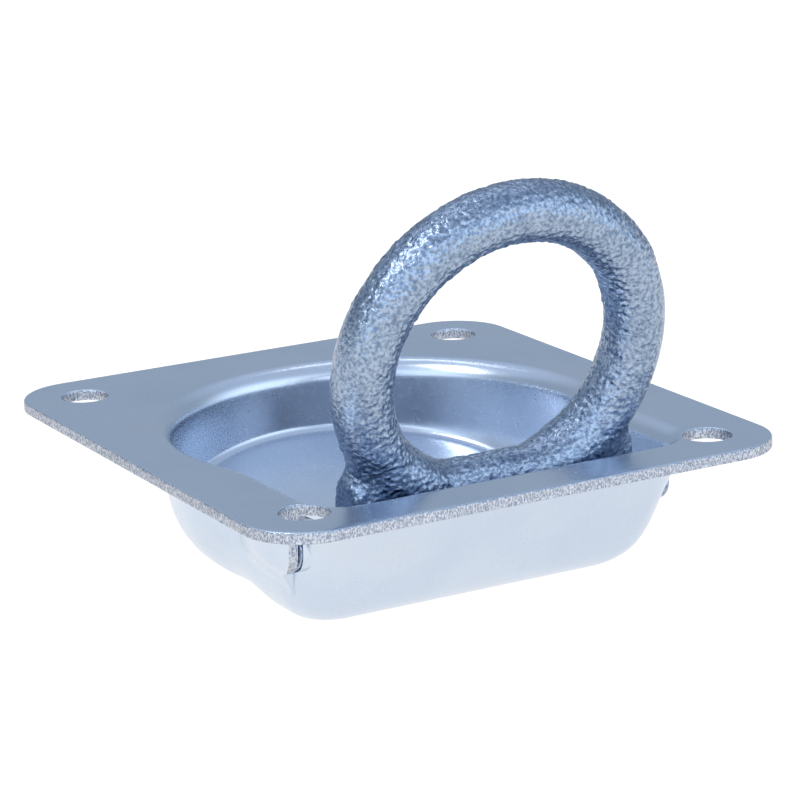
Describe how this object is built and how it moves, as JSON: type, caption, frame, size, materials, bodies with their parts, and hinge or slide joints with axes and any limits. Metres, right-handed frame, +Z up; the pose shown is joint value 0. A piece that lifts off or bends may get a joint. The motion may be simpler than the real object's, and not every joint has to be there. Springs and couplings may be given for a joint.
{
  "type": "recessed lashing ring",
  "caption": "Recessed tie-down ring: a forged ring hinged in a drawn steel pan whose square flange bolts down over a cut-out.",
  "frame": {"origin": "centre of the four fixing holes, on the underside of the flange", "axes": "+X along the hinge, +Y from the hinge side to the rounded back of the recess, +Z up out of the recess"},
  "size_m": [0.1142, 0.1238, 0.0862],
  "materials": {
    "zinc_sheet": "bright zinc plate on smooth drawn sheet",
    "zinc_forging": "bright zinc plate on rough shot-blasted forging"
  },
  "bodies": {
    "pan": {"pan": "zinc_sheet"},
    "ring": {"ring": "zinc_forging"}
  },
  "joints": [
    {"name": "ring_hinge", "type": "hinge", "parent": "pan", "child": "ring", "pos_m": [0, -0.03732, -0.00867], "axis": [1, 0, 0], "range_deg": [-104, 4]}
  ]
}
